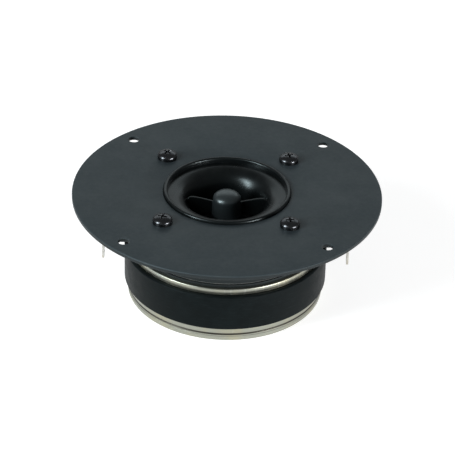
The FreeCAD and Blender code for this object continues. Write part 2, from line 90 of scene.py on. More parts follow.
# Moving part, bullet and its fins.
COIL_TOP_Z = 23.5
FORMER_R = 12.42
DOME_RISE = 3.2
DOME_WALL = 0.2
BULLET_R = 5.0
BULLET_NOSE_H = 3.0
BULLET_NOSE_POWER = 2.4
BULLET_SIDE_H = 4.4
BULLET_FOOT_R = 8.0
BULLET_GAP = 1.3
FIN_T = 0.8
FIN_FOOT_Z = 30.5
FIN_CREST_Z = 37.4
FIN_END_R = 14.6
FIN_CREST_AT = 0.8
FIN_FALL_IN = 1.9
FIN_FALL_OUT = 1.3
SURROUND_ROOT_R = 15.3
FILM_T = 0.15
COIL_TURNS = 17

# Motor, gasket, pad and rivets.
TOP_PLATE_BORE_R = 13.2
TAPPED_HOLE_R = 1.75
PEG_HOLE_R = 1.05
PEG_HOLES_AT = 24.0
MAGNET_BORE_R = 16.0
MAGNET_CHAMFER = 0.5
POLE_R = 12.0
POLE_TENON_R = 7.0
POLE_RIVET_R = 8.0
POLE_RIVET_H = 1.0
STAMPING_STEP = 0.12
GASKET_BORE_R = 22.0
PAD_R = 9.5
RIVETS_AT = 37.6
RIVET_R = 2.0
RIVET_NECK_R = 1.25
RIVET_BORE_R = 0.8
DOME_SPHERE_R = (FORMER_R**2 + DOME_RISE**2) / (2 * DOME_RISE)
DOME_CENTRE_Z = COIL_TOP_Z + DOME_RISE - DOME_SPHERE_R


def level(node):
    """Lowest and highest point of a CAD piece, in millimetres."""
    low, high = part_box(node)
    return low.z / MM, high.z / MM


def reach(node):
    """Outer radius of a round CAD piece, in millimetres."""
    low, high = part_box(node)
    return min(high.x, high.y) / MM


# ------------------------------------------------------------ modelling tools
def only(obj):
    bpy.ops.object.select_all(action="DESELECT")
    obj.select_set(True)
    bpy.context.view_layer.objects.active = obj


def edit(obj):
    only(obj)
    bpy.context.tool_settings.mesh_select_mode = (True, False, False)
    bpy.ops.object.mode_set(mode="EDIT")
    bpy.ops.mesh.select_all(action="SELECT")


def leave_edit():
    bpy.ops.object.mode_set(mode="OBJECT")


def pick(obj, wanted):
    """Selects the points of obj whose place passes the test, ready for an edit."""
    only(obj)
    bpy.context.tool_settings.mesh_select_mode = (True, False, False)
    bpy.ops.object.mode_set(mode="EDIT")
    bpy.ops.mesh.select_all(action="DESELECT")
    bpy.ops.object.mode_set(mode="OBJECT")
    for point in obj.data.vertices:
        point.select = wanted(point.co)
    bpy.ops.object.mode_set(mode="EDIT")


def settle(obj, name, smooth=35):
    """Names a piece, leaves its place in its mesh, and turns its faces outwards."""
    only(obj)
    bpy.ops.object.transform_apply(location=True, rotation=True, scale=True)
    edit(obj)
    bpy.ops.mesh.remove_doubles(threshold=1e-6)
    bpy.ops.mesh.normals_make_consistent(inside=False)
    leave_edit()
    bpy.ops.object.shade_smooth_by_angle(angle=math.radians(smooth))
    obj.name = name
    obj.data.name = name
    return obj


def draw_out(rise, from_r, to_r, centre):
    """Pulls the selected ring out into the next one of the profile."""
    bpy.ops.mesh.extrude_region_move(TRANSFORM_OT_translate={"value": (0, 0, rise * MM)})
    if abs(to_r - from_r) > 1e-6:
        share = to_r / from_r
        bpy.ops.transform.resize(value=(share, share, 1), center_override=centre)


def draw_to_axis(rise):
    bpy.ops.mesh.extrude_region_move(TRANSFORM_OT_translate={"value": (0, 0, rise * MM)})
    bpy.ops.mesh.merge(type="CENTER")


def turned(name, profile, steps=128, at=(0, 0), smooth=35):
    """A lathe piece: a circle is drawn out ring by ring along (radius, height) points in mm.

    A profile that starts and ends on the axis makes a solid, any other is closed on itself.
    """
    solid = profile[0][0] == 0
    rings = profile[1:-1] if solid else profile
    centre = (at[0] * MM, at[1] * MM, 0)
    first_r, first_z = rings[0]
    place = (centre[0], centre[1], first_z * MM)
    bpy.ops.object.select_all(action="DESELECT")
    bpy.ops.mesh.primitive_circle_add(vertices=steps, radius=first_r * MM, location=place)
    obj = bpy.context.object
    bpy.ops.object.transform_apply(location=True, rotation=True, scale=True)
    edit(obj)
    for (from_r, from_z), (to_r, to_z) in zip(rings, rings[1:]):
        draw_out(to_z - from_z, from_r, to_r, centre)
    if solid:
        draw_to_axis(profile[-1][1] - rings[-1][1])

    def on_ring(radius, height):
        def test(co):
            away = math.hypot(co.x - centre[0], co.y - centre[1])
            return abs(away - radius * MM) < 2e-6 and abs(co.z - height * MM) < 2e-6
        return test

    leave_edit()
    first = on_ring(*rings[0])
    if solid:
        pick(obj, first)
        draw_to_axis(profile[0][1] - rings[0][1])
    else:
        last = on_ring(*rings[-1])
        pick(obj, lambda co: first(co) or last(co))
        bpy.ops.mesh.bridge_edge_loops()
    leave_edit()
    return settle(obj, name, smooth)


def softened(corners, steps=3):
    """Rounds the corners (radius, height, rounding) of a profile with small arcs."""
    profile = []
    count = len(corners)
    for i, (r, z, rounding) in enumerate(corners):
        here = Vector((r, z))
        if not rounding:
            profile.append((r, z))
            continue
        back = (Vector(corners[i - 1][:2]) - here).normalized()
        on = (Vector(corners[(i + 1) % count][:2]) - here).normalized()
        half = back.angle(on) / 2
        centre = here + (back + on).normalized() * (rounding / math.sin(half))
        arm = rounding / math.tan(half)
        start = here + back * arm - centre
        end = here + on * arm - centre
        for k in range(steps + 1):
            spoke = start.lerp(end, k / steps).normalized() * rounding
            profile.append(tuple(centre + spoke))
    return profile


def combine(obj, tool, operation):
    only(obj)
    bpy.ops.object.modifier_add(type="BOOLEAN")
    modifier = obj.modifiers[-1]
    modifier.operation = operation
    modifier.solver = "EXACT"
    modifier.object = tool
    bpy.ops.object.modifier_apply(modifier=modifier.name)
    bpy.data.objects.remove(tool)


def drilled(obj, radius, at, angles, low, high, lead_in=0.0, steps=48):
    """Drills through holes on a circle, with a small lead-in at both faces."""
    for angle in angles:
        turn = math.radians(angle)
        wide = radius + lead_in
        profile = [
            (0, low - 1), (wide + 1, low - 1), (radius, low + lead_in),
            (radius, high - lead_in), (wide + 1, high + 1), (0, high + 1),
        ]
        if not lead_in:
            profile = [(0, low - 1), (radius, low - 1), (radius, high + 1), (0, high + 1)]
        tool = turned("drill", profile, steps, (at * math.cos(turn), at * math.sin(turn)))
        combine(obj, tool, "DIFFERENCE")


def block(size, place):
    """A cube at its size and place, in millimetres, ready to be shaped."""
    bpy.ops.object.select_all(action="DESELECT")
    bpy.ops.mesh.primitive_cube_add(size=1, location=[v * MM for v in place])
    obj = bpy.context.object
    obj.scale = [v * MM for v in size]
    bpy.ops.object.transform_apply(location=True, rotation=True, scale=True)
    return obj


def broken_edges(obj, width, segments=2, angle=35):
    """Breaks the sharp edges with a small bevel, in millimetres."""
    only(obj)
    bpy.ops.object.modifier_add(type="BEVEL")
    modifier = obj.modifiers[-1]
    modifier.width = width * MM
    modifier.segments = segments
    modifier.limit_method = "ANGLE"
    modifier.angle_limit = math.radians(angle)
    modifier.harden_normals = False
    bpy.ops.object.modifier_apply(modifier=modifier.name)


def spun_about_z(obj, angle, centre=(0, 0, 0)):
    edit(obj)
    bpy.ops.transform.rotate(
        value=-math.radians(angle), orient_axis="Z", center_override=centre
    )
    leave_edit()


def own_copy(obj, name, move=(0, 0, 0), turn=0, about=(0, 0, 0)):
    """A copy with its own mesh, moved and turned in its mesh."""
    only(obj)
    bpy.ops.object.duplicate(linked=False)
    copy = bpy.context.object
    edit(copy)
    if turn:
        bpy.ops.transform.rotate(value=-math.radians(turn), orient_axis="Z", center_override=about)
    bpy.ops.transform.translate(value=[v * MM for v in move])
    leave_edit()
    copy.name = name
    copy.data.name = name
    return copy


def refined(node, name, edge=0.0, smooth=35):
    """A merged copy of a CAD piece, its flat faces joined up and its sharp edges broken."""
    copy = bpy.data.objects.new(name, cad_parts[node].data.copy())
    bpy.context.scene.collection.objects.link(copy)
    only(copy)
    bpy.ops.mesh.customdata_custom_splitnormals_clear()
    edit(copy)
    bpy.ops.mesh.remove_doubles(threshold=1e-6)
    bpy.ops.mesh.dissolve_limited(angle_limit=math.radians(0.5))
    leave_edit()
    if edge:
        broken_edges(copy, edge)
    copy.data.materials.clear()
    return settle(copy, name, smooth)


# ------------------------------------------------------------- shader helpers
def node(tree, kind, **settings):
    made = tree.nodes.new(kind)
    for key, value in settings.items():
        setattr(made, key, value)
    return made


def feed(tree, source, target):
    if isinstance(source, bpy.types.NodeSocket):
        tree.links.new(source, target)
    else:
        target.default_value = source


def maths(tree, operation, a, b=0.0, clamp=False):
    made = node(tree, "ShaderNodeMath", operation=operation, use_clamp=clamp)
    feed(tree, a, made.inputs[0])
    feed(tree, b, made.inputs[1])
    return made.outputs[0]


def noise(tree, place, scale, detail=4.0, roughness=0.55):
    made = node(tree, "ShaderNodeTexNoise")
    feed(tree, place, made.inputs["Vector"])
    feed(tree, scale, made.inputs["Scale"])
    made.inputs["Detail"].default_value = detail
    made.inputs["Roughness"].default_value = roughness
    return made.outputs["Fac"]


def spread(tree, value, low, high, to_low=0.0, to_high=1.0):
    made = node(tree, "ShaderNodeMapRange", interpolation_type="SMOOTHSTEP")
    feed(tree, value, made.inputs["Value"])
    limits = {"From Min": low, "From Max": high, "To Min": to_low, "To Max": to_high}
    for socket, number in limits.items():
        feed(tree, number, made.inputs[socket])
    return made.outputs["Result"]


def blended(tree, share, a, b):
    made = node(tree, "ShaderNodeMix", data_type="RGBA")
    feed(tree, share, made.inputs["Factor"])
    feed(tree, a, made.inputs[6])
    feed(tree, b, made.inputs[7])
    return made.outputs[2]


def stretched(tree, place, scale):
    made = node(tree, "ShaderNodeMapping")
    feed(tree, place, made.inputs["Vector"])
    made.inputs["Scale"].default_value = scale
    return made.outputs["Vector"]


def new_group(name, inputs, outputs):
    tree = bpy.data.node_groups.new(name, "ShaderNodeTree")
    for label, kind, value in inputs:
        socket = tree.interface.new_socket(name=label, in_out="INPUT", socket_type=kind)
        if value is not None:
            socket.default_value = value
    for label, kind in outputs:
        tree.interface.new_socket(name=label, in_out="OUTPUT", socket_type=kind)
    return tree, node(tree, "NodeGroupInput").outputs, node(tree, "NodeGroupOutput").inputs


VECTOR = "NodeSocketVector"
FLOAT = "NodeSocketFloat"


def grain_group():
    """Coarse and fine unevenness of a moulded, sprayed or ground surface."""
    tree, given, made = new_group(
        "surface grain",
        [
            ("Place", VECTOR, None),
            ("Coarse", FLOAT, 300.0),
            ("Fine", FLOAT, 2500.0),
            ("Fine share", FLOAT, 0.5),
        ],
        [("Height", FLOAT)],
    )
    coarse = noise(tree, given["Place"], given["Coarse"], 3.0)
    fine = noise(tree, given["Place"], given["Fine"], 5.0, 0.65)
    step = node(tree, "ShaderNodeMix", data_type="FLOAT")
    tree.links.new(given["Fine share"], step.inputs["Factor"])
    tree.links.new(coarse, step.inputs[2])
    tree.links.new(fine, step.inputs[3])
    tree.links.new(step.outputs[0], made["Height"])
    return tree


def lathe_marks_group():
    """Concentric tool marks about the Z axis."""
    tree, given, made = new_group(
        "lathe marks", [("Place", VECTOR, None), ("Pitch", FLOAT, 3000.0)], [("Height", FLOAT)]
    )
    parts = node(tree, "ShaderNodeSeparateXYZ")
    tree.links.new(given["Place"], parts.inputs[0])
    square = maths(
        tree, "ADD", maths(tree, "MULTIPLY", parts.outputs[0], parts.outputs[0]),
        maths(tree, "MULTIPLY", parts.outputs[1], parts.outputs[1]),
    )
    radius = maths(tree, "SQRT", square)
    join = node(tree, "ShaderNodeCombineXYZ")
    tree.links.new(radius, join.inputs[0])
    tree.links.new(parts.outputs[2], join.inputs[2])
    marks = noise(tree, join.outputs[0], given["Pitch"], 3.0, 0.7)
    tree.links.new(marks, made["Height"])
    return tree


def worn_edge_group():
    """Finds the outer edges, broken up so that the wear isn't even."""
    tree, given, made = new_group(
        "worn edges",
        [("Place", VECTOR, None), ("Width", FLOAT, 0.0003), ("Patch", FLOAT, 900.0), ("Amount", FLOAT, 1.0)],
        [("Mask", FLOAT)],
    )
    round_normal = node(tree, "ShaderNodeBevel", samples=6)
    tree.links.new(given["Width"], round_normal.inputs["Radius"])
    face = node(tree, "ShaderNodeNewGeometry")
    dot = node(tree, "ShaderNodeVectorMath", operation="DOT_PRODUCT")
    tree.links.new(round_normal.outputs[0], dot.inputs[0])
    tree.links.new(face.outputs["Normal"], dot.inputs[1])
    bent = maths(tree, "SUBTRACT", 1.0, dot.outputs["Value"], clamp=True)
    edge = spread(tree, bent, 0.01, 0.16)
    patches = spread(tree, noise(tree, given["Place"], given["Patch"], 4.0, 0.7), 0.38, 0.62)
    worn = maths(tree, "MULTIPLY", maths(tree, "MULTIPLY", edge, patches), given["Amount"], clamp=True)
    tree.links.new(worn, made["Mask"])
    return tree


def dust_group():
    """A thin film of dust on what faces up."""
    tree, given, made = new_group(
        "settled dust", [("Place", VECTOR, None), ("Patch", FLOAT, 160.0), ("Amount", FLOAT, 0.1)],
        [("Mask", FLOAT)],
    )
    face = node(tree, "ShaderNodeNewGeometry")
    parts = node(tree, "ShaderNodeSeparateXYZ")
    tree.links.new(face.outputs["Normal"], parts.inputs[0])
    up = spread(tree, parts.outputs[2], 0.3, 1.0)
    patches = spread(tree, noise(tree, given["Place"], given["Patch"], 6.0, 0.65), 0.35, 0.75)
    mask = maths(tree, "MULTIPLY", maths(tree, "MULTIPLY", up, patches), given["Amount"], clamp=True)
    tree.links.new(mask, made["Mask"])
    return tree


def scratch_group():
    """Hairline scratches in two directions."""
    tree, given, made = new_group(
        "hairlines", [("Place", VECTOR, None), ("Scale", FLOAT, 60.0), ("Amount", FLOAT, 1.0)],
        [("Mask", FLOAT)],
    )
    total = 0.0
    for turn, squeeze in ((0.5, (1.0, 24.0, 1.0)), (-0.9, (1.0, 30.0, 1.0))):
        along = node(tree, "ShaderNodeVectorRotate", rotation_type="Z_AXIS")
        tree.links.new(given["Place"], along.inputs["Vector"])
        along.inputs["Angle"].default_value = turn
        lines = noise(tree, stretched(tree, along.outputs[0], squeeze), given["Scale"], 2.0, 0.4)
        thin = spread(tree, lines, 0.69, 0.72)
        total = maths(tree, "ADD", thin, total, clamp=True)
    tree.links.new(maths(tree, "MULTIPLY", total, given["Amount"], clamp=True), made["Mask"])
    return tree


def weave_group():
    """Crossing threads of a coated cloth."""
    tree, given, made = new_group(
        "cloth weave", [("Place", VECTOR, None), ("Threads", FLOAT, 2600.0)], [("Height", FLOAT)]
    )
    parts = node(tree, "ShaderNodeSeparateXYZ")
    tree.links.new(given["Place"], parts.inputs[0])
    threads = []
    for axis in (0, 1):
        rate = maths(tree, "MULTIPLY", given["Threads"], 6.283)
        phase = maths(tree, "MULTIPLY", parts.outputs[axis], rate)
        threads.append(maths(tree, "ABSOLUTE", maths(tree, "SINE", phase)))
    tree.links.new(maths(tree, "MAXIMUM", threads[0], threads[1]), made["Height"])
    return tree


GROUPS = {
    "grain": grain_group(),
    "marks": lathe_marks_group(),
    "edges": worn_edge_group(),
    "dust": dust_group(),
    "hairlines": scratch_group(),
    "weave": weave_group(),
}


class Finish:
    """A material with its Principled shader, and short ways to feed it."""

    def __init__(self, name, colour, roughness, metallic=0.0, ior_level=0.5, **sockets):
        self.material = bpy.data.materials.new(name)
        self.material.use_nodes = True
        self.tree = self.material.node_tree
        self.shader = self.tree.nodes["Principled BSDF"]
        self.place = node(self.tree, "ShaderNodeTexCoord").outputs["Object"]
        self.colour = (*colour, 1.0)
        self.set("Base Color", self.colour)
        self.set("Roughness", roughness)
        self.set("Metallic", metallic)
        self.set("Specular IOR Level", ior_level)
        for label, value in sockets.items():
            self.set(label.replace("_", " "), value)
        self.roughness = roughness

    def height(self):
        """Height above the rear face, in millimetres."""
        split = node(self.tree, "ShaderNodeSeparateXYZ")
        self.tree.links.new(self.place, split.inputs[0])
        return maths(self.tree, "DIVIDE", split.outputs["Z"], MM)

    def set(self, socket, value):
        self.shader.inputs[socket].default_value = value

    def group(self, name, output, **inputs):
        made = node(self.tree, "ShaderNodeGroup", node_tree=GROUPS[name])
        self.tree.links.new(self.place, made.inputs["Place"])
        for label, value in inputs.items():
            feed(self.tree, value, made.inputs[label.replace("_", " ")])
        return made.outputs[output]

    def recolour(self, mask, colour):
        """Mixes another colour in where the mask is."""
        self.colour = blended(self.tree, mask, self.colour, (*colour, 1.0))
        self.tree.links.new(self.colour, self.shader.inputs["Base Color"])

    def reroughen(self, mask, roughness):
        made = node(self.tree, "ShaderNodeMix", data_type="FLOAT")
        feed(self.tree, mask, made.inputs["Factor"])
        feed(self.tree, self.roughness, made.inputs[2])
        made.inputs[3].default_value = roughness
        self.roughness = made.outputs[0]
        self.tree.links.new(self.roughness, self.shader.inputs["Roughness"])

    def relief(self, height, depth, strength=1.0):
        """Adds a bump of a real depth, in millimetres, on top of what is there."""
        bump = node(self.tree, "ShaderNodeBump")
        bump.inputs["Strength"].default_value = strength
        bump.inputs["Distance"].default_value = depth * MM
        self.tree.links.new(height, bump.inputs["Height"])
        before = self.shader.inputs["Normal"]
        if before.is_linked:
            self.tree.links.new(before.links[0].from_socket, bump.inputs["Normal"])
        self.tree.links.new(bump.outputs["Normal"], before)


# ------------------------------------------------------------------ materials
# Painted light: a cool tint on the reflections of the black finishes, standing in for a cool cast of the
# light.
COLD_SHEEN = (0.84, 0.97, 1.0, 1.0)


def satin_black_coating():
    made = Finish(
        "satin_black_coating", (0.022, 0.031, 0.036), 0.5, ior_level=0.32, Specular_Tint=COLD_SHEEN,
    )
    texture = made.group("grain", "Height", Coarse=700.0, Fine=3600.0, Fine_share=0.6)
    made.recolour(spread(made.tree, texture, 0.35, 0.65), (0.034, 0.043, 0.048))
    clouds = noise(made.tree, made.place, 60.0, 4.0)
    made.recolour(spread(made.tree, clouds, 0.4, 0.75, 0.0, 0.3), (0.037, 0.046, 0.05))
    made.reroughen(spread(made.tree, clouds, 0.35, 0.65), 0.46)
    rubbed = made.group("edges", "Mask", Width=0.00025, Patch=700.0, Amount=0.6)
    made.recolour(rubbed, (0.08, 0.09, 0.095))
    # Painted shade: below the top arris, the edge wall and the underside of the plate are coloured near
    # black.
    painted_shade_under_arris = spread(made.tree, made.height(), 39.75, 39.55)
    made.recolour(painted_shade_under_arris, (0.007, 0.009, 0.01))
    made.recolour(made.group("dust", "Mask", Patch=140.0, Amount=0.03), (0.3, 0.3, 0.29))
    made.relief(texture, 0.012)
    return made.material


def gloss_black_moulding():
    made = Finish(
        "gloss_black_moulding", (0.0025, 0.0033, 0.0036), 0.27, ior_level=0.36, Specular_Tint=COLD_SHEEN,
    )
    flow = made.group("grain", "Height", Coarse=160.0, Fine=1800.0, Fine_share=0.3)
    made.reroughen(spread(made.tree, flow, 0.35, 0.7), 0.33)
    made.recolour(made.group("edges", "Mask", Width=0.0002, Patch=500.0, Amount=0.35), (0.02, 0.024, 0.026))
    made.recolour(made.group("dust", "Mask", Patch=260.0, Amount=0.02), (0.2, 0.2, 0.19))
    made.relief(flow, 0.004)
    return made.material


def bullet_moulding():
    """Polished on the bullet itself, as moulded and less shiny on the fins and the foot, whose darker colour
    is painted shade.
    """
    made = Finish("bullet_moulding", (0.015, 0.019, 0.021), 0.34, ior_level=1.0, Specular_Tint=COLD_SHEEN)
    flow = made.group("grain", "Height", Coarse=240.0, Fine=2600.0, Fine_share=0.45)
    made.reroughen(spread(made.tree, flow, 0.35, 0.7), 0.42)
    off_axis = node(made.tree, "ShaderNodeVectorMath", operation="LENGTH")
    made.tree.links.new(stretched(made.tree, made.place, (1.0, 1.0, 0.0)), off_axis.inputs[0])
    skin = (BULLET_R + 0.1) * MM, (BULLET_R + 0.4) * MM
    # Painted shade: the fins and the foot, outside the bullet's skin, are coloured darker than the bullet.
    made.recolour(spread(made.tree, off_axis.outputs["Value"], *skin), (0.003, 0.004, 0.0042))
    shine = spread(made.tree, off_axis.outputs["Value"], *skin, 1.0, 0.25)
    made.tree.links.new(shine, made.shader.inputs["Specular IOR Level"])
    made.recolour(made.group("edges", "Mask", Width=0.0002, Patch=800.0, Amount=0.3), (0.026, 0.03, 0.032))
    made.relief(flow, 0.006)
    return made.material


def black_zinc():
    made = Finish("black_zinc", (0.09, 0.094, 0.1), 0.2, metallic=1.0)
    pitted = made.group("grain", "Height", Coarse=900.0, Fine=5200.0, Fine_share=0.5)
    made.recolour(spread(made.tree, pitted, 0.4, 0.7), (0.05, 0.053, 0.058))
    made.reroughen(spread(made.tree, pitted, 0.3, 0.7), 0.32)
    bare = made.group("edges", "Mask", Width=0.0002, Patch=1400.0, Amount=1.0)
    made.recolour(bare, (0.62, 0.63, 0.65))
    made.relief(pitted, 0.006)
    return made.material


def zinc_plating():
    """Yellowish zinc with turning marks; the seam between the rear plates is darkened with painted shade."""
    seam_z = level("outer_rear_plate")[1]
    made = Finish("zinc_plating", (0.33, 0.335, 0.285), 0.36, metallic=1.0)
    blotches = noise(made.tree, made.place, 110.0, 5.0, 0.6)
    made.recolour(spread(made.tree, blotches, 0.45, 0.7), (0.38, 0.365, 0.275))
    cool = noise(made.tree, made.place, 62.0, 3.0)
    made.recolour(spread(made.tree, cool, 0.55, 0.75, 0.0, 0.6), (0.28, 0.3, 0.285))
    grain = made.group("grain", "Height", Coarse=700.0, Fine=4200.0, Fine_share=0.5)
    made.reroughen(spread(made.tree, blotches, 0.35, 0.7), 0.46)
    marks = made.group("marks", "Height", Pitch=2600.0)
    made.recolour(spread(made.tree, marks, 0.62, 0.75, 0.0, 0.4), (0.2, 0.2, 0.17))
    made.recolour(made.group("hairlines", "Mask", Scale=70.0, Amount=0.3), (0.6, 0.6, 0.56))
    made.recolour(made.group("edges", "Mask", Width=0.0003, Patch=600.0, Amount=0.5), (0.6, 0.6, 0.55))
    # Painted shade: the colour is darkened near the seam between the rear plates.
    off_seam = maths(made.tree, "ABSOLUTE", maths(made.tree, "SUBTRACT", made.height(), seam_z))
    made.recolour(spread(made.tree, off_seam, 0.55, 0.25), (0.07, 0.066, 0.055))
    made.relief(marks, 0.006)
    made.relief(grain, 0.008)
    return made.material


def ground_ferrite():
    made = Finish("ground_ferrite", (0.0016, 0.0028, 0.003), 0.4, ior_level=0.08, Specular_Tint=COLD_SHEEN)
    stone = made.group("grain", "Height", Coarse=260.0, Fine=3000.0, Fine_share=0.6)
    made.recolour(spread(made.tree, stone, 0.4, 0.65), (0.0032, 0.0052, 0.0056))
    made.reroughen(spread(made.tree, stone, 0.35, 0.65), 0.55)
    tree = made.tree
    lines = noise(tree, stretched(tree, made.place, (1.0, 1.0, 14.0)), 240.0, 3.0)
    made.recolour(spread(tree, lines, 0.56, 0.7, 0.0, 0.5), (0.009, 0.0125, 0.013))
    made.recolour(made.group("edges", "Mask", Width=0.0004, Patch=500.0, Amount=0.8), (0.022, 0.028, 0.029))
    made.recolour(made.group("dust", "Mask", Patch=200.0, Amount=0.03), (0.16, 0.17, 0.165))
    made.relief(stone, 0.02)
    return made.material


def matt_black_moulding():
    made = Finish(
        "matt_black_moulding", (0.006, 0.0075, 0.008), 0.5, ior_level=0.25, Specular_Tint=COLD_SHEEN,
    )
    eroded = made.group("grain", "Height", Coarse=900.0, Fine=4200.0, Fine_share=0.7)
    made.recolour(spread(made.tree, eroded, 0.35, 0.7), (0.011, 0.013, 0.0135))
    made.recolour(made.group("edges", "Mask", Width=0.0002, Patch=700.0, Amount=0.5), (0.05, 0.056, 0.058))
    made.relief(eroded, 0.02)
    return made.material


def grey_foam():
    made = Finish("grey_foam", (0.3, 0.31, 0.3), 0.9, ior_level=0.2)
    cells = node(made.tree, "ShaderNodeTexVoronoi")
    made.tree.links.new(made.place, cells.inputs["Vector"])
    cells.inputs["Scale"].default_value = 3200.0
    made.recolour(spread(made.tree, cells.outputs["Distance"], 0.1, 0.6), (0.16, 0.17, 0.165))
    made.recolour(spread(made.tree, noise(made.tree, made.place, 180.0), 0.4, 0.7), (0.24, 0.24, 0.22))
    made.relief(cells.outputs["Distance"], 0.05)
    return made.material


def grey_felt():
    made = Finish("grey_felt", (0.2, 0.19, 0.175), 0.95, ior_level=0.1)
    tree = made.tree
    hairs = noise(tree, stretched(tree, made.place, (1.0, 3.0, 1.0)), 2400.0, 6.0, 0.75)
    made.recolour(spread(tree, hairs, 0.35, 0.65), (0.32, 0.31, 0.29))
    made.relief(hairs, 0.12)
    return made.material


def coated_cloth():
    made = Finish("coated_cloth", (0.014, 0.014, 0.016), 0.42, ior_level=0.5)
    threads = made.group("weave", "Height", Threads=1700.0)
    made.recolour(threads, (0.03, 0.03, 0.033))
    uneven = noise(made.tree, made.place, 420.0, 3.0)
    made.reroughen(spread(made.tree, uneven, 0.4, 0.65), 0.6)
    made.relief(threads, 0.02)
    return made.material


def bright_foil():
    made = Finish("bright_foil", (0.75, 0.75, 0.76), 0.28, metallic=1.0)
    creases = noise(made.tree, made.place, 900.0, 3.0)
    made.reroughen(spread(made.tree, creases, 0.4, 0.7), 0.4)
    made.recolour(spread(made.tree, creases, 0.5, 0.7), (0.6, 0.6, 0.61))
    made.relief(creases, 0.01)
    return made.material


def enamelled_copper():
    made = Finish("enamelled_copper", (0.5, 0.18, 0.07), 0.25, metallic=1.0, Coat_Weight=0.6)
    streaks = noise(made.tree, stretched(made.tree, made.place, (1.0, 1.0, 9.0)), 700.0, 3.0)
    made.recolour(spread(made.tree, streaks, 0.4, 0.7), (0.36, 0.11, 0.04))
    made.reroughen(spread(made.tree, streaks, 0.4, 0.7), 0.36)
    made.relief(streaks, 0.004)
    return made.material


def tinned_braid():
    made = Finish("tinned_braid", (0.62, 0.36, 0.22), 0.38, metallic=1.0)
    tree = made.tree
    wave = node(tree, "ShaderNodeTexWave", wave_type="BANDS", bands_direction="DIAGONAL")
    tree.links.new(made.place, wave.inputs["Vector"])
    wave.inputs["Scale"].default_value = 900.0
    wave.inputs["Distortion"].default_value = 1.5
    made.recolour(wave.outputs["Fac"], (0.42, 0.2, 0.11))
    made.reroughen(noise(tree, made.place, 800.0), 0.5)
    made.relief(wave.outputs["Fac"], 0.06)
    return made.material


def bright_solder():
    made = Finish("bright_solder", (0.62, 0.63, 0.64), 0.2, metallic=1.0)
    frost = noise(made.tree, made.place, 1500.0, 4.0)
    made.reroughen(spread(made.tree, frost, 0.4, 0.65), 0.42)
    made.recolour(spread(made.tree, frost, 0.5, 0.7), (0.45, 0.45, 0.45))
    made.relief(frost, 0.02)
    return made.material


def tin_plating():
    made = Finish("tin_plating", (0.62, 0.61, 0.57), 0.32, metallic=1.0)
    tree = made.tree
    drawn = noise(tree, stretched(tree, made.place, (0.15, 1.0, 0.15)), 2600.0, 4.0, 0.65)
    made.recolour(spread(tree, drawn, 0.45, 0.7), (0.46, 0.45, 0.42))
    made.recolour(spread(tree, noise(tree, made.place, 260.0), 0.52, 0.72, 0.0, 0.7), (0.52, 0.46, 0.34))
    made.reroughen(spread(tree, drawn, 0.4, 0.7), 0.46)
    made.recolour(made.group("edges", "Mask", Width=0.00012, Patch=1500.0, Amount=0.8), (0.66, 0.5, 0.24))
    made.relief(drawn, 0.006)
    return made.material


def nickel_plating():
    made = Finish("nickel_plating", (0.6, 0.57, 0.5), 0.22, metallic=1.0)
    patches = noise(made.tree, made.place, 900.0, 4.0)
    made.reroughen(spread(made.tree, patches, 0.4, 0.7), 0.38)
    made.recolour(spread(made.tree, patches, 0.45, 0.75), (0.46, 0.43, 0.37))
    made.recolour(made.group("edges", "Mask", Width=0.0001, Patch=1500.0, Amount=0.7), (0.7, 0.52, 0.22))
    made.relief(patches, 0.006)
    return made.material


FINISHES = {
    "front_plate": satin_black_coating(),
    "clamp_screws": black_zinc(),
    "horn": gloss_black_moulding(),
    "phase_plug": bullet_moulding(),
    "horn_gasket": grey_foam(),
    "diaphragm_carrier": matt_black_moulding(),
    "cloth": coated_cloth(),
    "voice_coil_former": bright_foil(),
    "voice_coil": enamelled_copper(),
    "damping_pad": grey_felt(),
    "leads": tinned_braid(),
    "solder": bright_solder(),
    "terminals": tin_plating(),
    "terminal_rivets": nickel_plating(),
    "plated_steel": zinc_plating(),
    "magnet": ground_ferrite(),
}


def fit(obj, finish, nodes, body="chassis"):
    """Gives a finished piece its material and its body, and hides the CAD pieces it stands for."""
    obj.data.materials.clear()
    obj.data.materials.append(FINISHES[finish])
    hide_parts(*nodes)
    if body:
        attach(obj, body)
    return obj


# --------------------------------------------------------------------- pieces
def make_front_plate():
    low, top = level("front_plate")
    rim = reach("front_plate")
    plate = turned("front_plate_face", softened([
        (HORN_HOLE_R, low + PLATE_RELIEF, 0),
        (PLATE_SEAT_R, low + PLATE_RELIEF, 0),
        (PLATE_SEAT_R, low, 0),
        (rim, low, 0.2),
        (rim, top - 0.3, 0.12),
        (rim - 0.3, top, 0.18),
        (HORN_HOLE_R, top, 0.12),
    ]), steps=256)
    drilled(plate, PANEL_HOLE_R, PANEL_HOLES_AT, FOUR_CORNERS, low, top, 0.12)
    drilled(plate, SCREW_HOLE_R, SCREW_AT, FOUR_CORNERS, low, top)
    settle(plate, "front_plate_face")
    fit(plate, "front_plate", ["front_plate"])


def cross_cutter(top):
    """The tapered cross of the screwdriver recess."""
    depth = RECESS_DEPTH
    cutter = None
    for turn in (0, 90):
        bar = block((4.0, 0.95, depth + 0.6), (0, 0, top - depth / 2 + 0.3))
        pick(bar, lambda co: co.z < (top - depth / 2) * MM)
        bpy.ops.transform.resize(value=(0.4, 0.62, 1), center_override=(0, 0, (top - depth) * MM))
        leave_edit()
        if turn:
            spun_about_z(bar, turn)
            combine(cutter, bar, "UNION")
        else:
            cutter = bar
    return cutter


